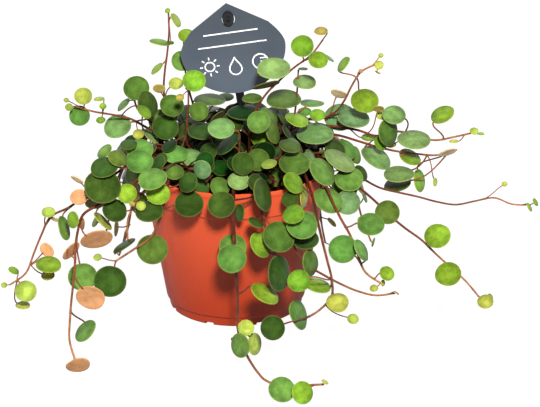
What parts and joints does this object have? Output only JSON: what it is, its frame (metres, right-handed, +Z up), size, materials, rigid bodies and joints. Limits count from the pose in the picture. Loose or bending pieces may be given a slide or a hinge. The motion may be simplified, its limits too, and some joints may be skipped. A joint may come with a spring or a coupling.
{
  "type": "potted_pepperspot_peperomia",
  "caption": "Trailing peperomia in an orange plastic nursery pot: a mound of small round leaves on red wiry stems that arch and trail over the rim, and a bare grey plant label on a black stake.",
  "frame": {"origin": "centre of the pot's flat base, on the surface it stands on", "axes": "+Z up, -Y toward the viewer of the picture, +X to the viewer's right"},
  "size_m": [0.2938, 0.2207, 0.1739],
  "materials": {
    "pot_plastic": "matte moulded",
    "peat": "crumbly",
    "label_plastic": "satin",
    "stake_plastic": "satin",
    "foliage": "satin, succulent",
    "stalk": "satin"
  },
  "bodies": {
    "root": {"pot": "pot_plastic", "soil": "peat", "label_plate": "label_plastic", "label_stake": "stake_plastic", "stem_back_01": "foliage", "stem_back_02": "foliage", "stem_back_03": "foliage", "stem_back_04": "foliage", "stem_back_05": "foliage", "stem_back_06": "foliage", "stem_back_07": "foliage", "stem_behind_label": "foliage", "stem_centre_front": "foliage", "stem_centre_left": "foliage", "stem_centre_right": "foliage", "stem_crown_01": "foliage", "stem_crown_02": "foliage", "stem_crown_03": "foliage", "stem_crown_04": "foliage", "stem_crown_05": "foliage", "stem_crown_06": "foliage", "stem_crown_07": "foliage", "stem_crown_08": "foliage", "stem_crown_09": "foliage", "stem_crown_10": "foliage", "stem_crown_11": "foliage", "stem_crown_12": "foliage", "stem_crown_13": "foliage", "stem_crown_14": "foliage", "stem_front": "foliage", "stem_front_right": "foliage", "stem_left_far": "foliage", "stem_left_fork": "foliage", "stem_left_low": "foliage", "stem_left_side": "foliage", "stem_left_stub": "foliage", "stem_left_top": "foliage", "stem_left_up": "foliage", "stem_mid_right_post": "foliage", "stem_mid_right_up": "foliage", "stem_right_drop": "foliage", "stem_right_fork": "foliage", "stem_right_high": "foliage", "stem_right_long": "foliage", "stem_right_reach": "foliage", "stem_right_slope": "foliage", "stem_right_top": "foliage", "stem_side_runner": "foliage", "stem_upright_left": "foliage", "stem_upright_mid": "foliage"}
  },
  "joints": []
}
